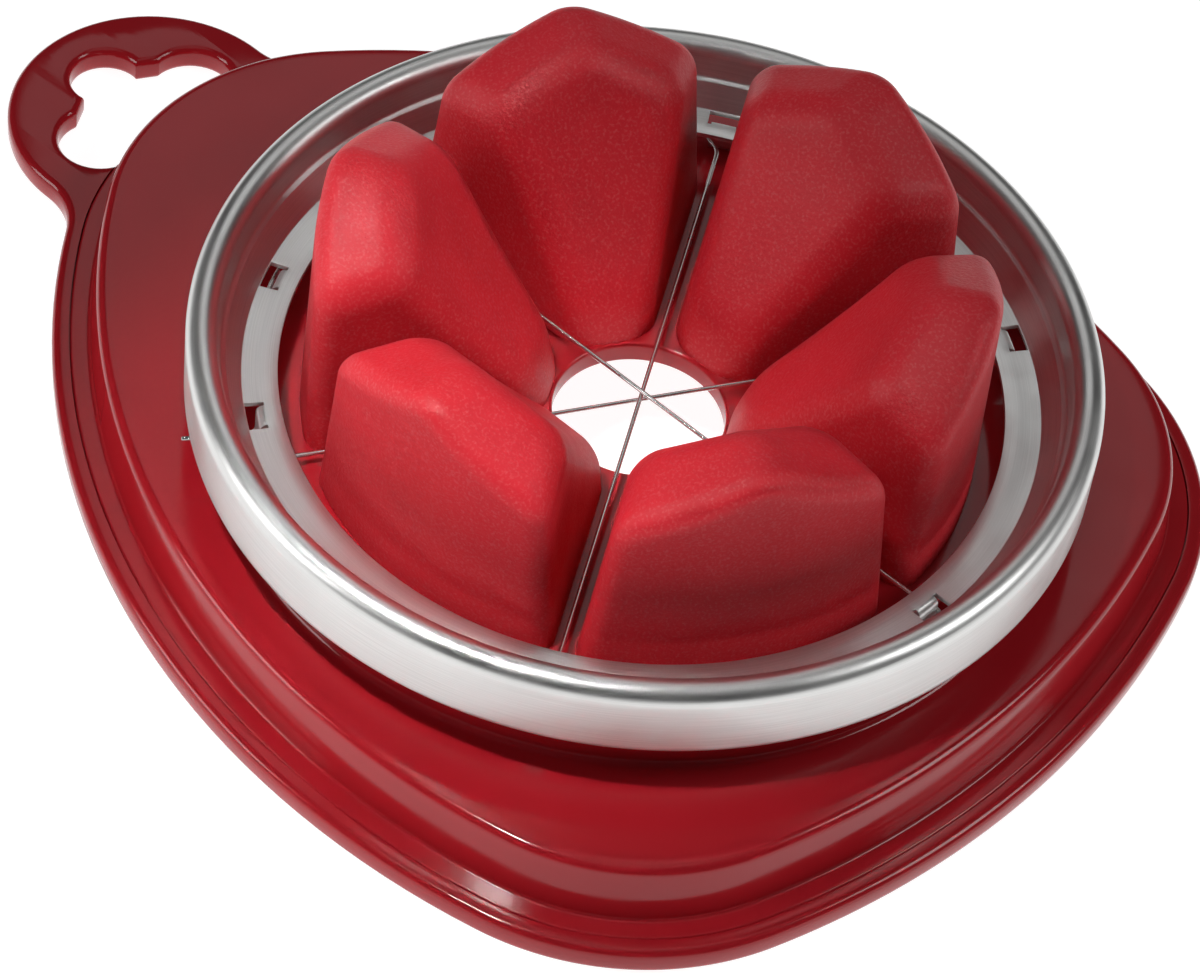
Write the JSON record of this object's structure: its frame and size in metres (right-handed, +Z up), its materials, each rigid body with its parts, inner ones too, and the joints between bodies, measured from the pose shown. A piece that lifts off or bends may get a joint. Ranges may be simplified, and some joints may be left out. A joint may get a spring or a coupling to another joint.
{
  "type": "egg slicer",
  "caption": "Hand egg cutter: a round steel ring strung with crossing wires drops over wedge-shaped posts on a flat plastic base with a hanging loop.",
  "frame": {"origin": "middle of the base's footprint, on the plane it stands on", "axes": "+X away from the hanging loop, along the base's length; +Z up, the way the cutter lifts off; the base's mirror plane is y = 0"},
  "size_m": [0.1308, 0.0998, 0.0367],
  "materials": {
    "base_red": "glossy",
    "post_red": "fine grained matte",
    "ring_steel": "satin",
    "wire_steel": "drawn wire"
  },
  "bodies": {
    "base": {"lower_frame": "base_red", "top_shell": "base_red", "wedge_post_1": "post_red", "wedge_post_2": "post_red", "wedge_post_3": "post_red", "wedge_post_4": "post_red", "wedge_post_5": "post_red", "wedge_post_6": "post_red"},
    "cutter": {"cutter_ring": "ring_steel", "cutting_wire": "wire_steel"}
  },
  "joints": [
    {"name": "ring_lift", "type": "slide", "parent": "base", "child": "cutter", "axis": [0, 0, 1], "range_m": [0, 0.06]}
  ]
}
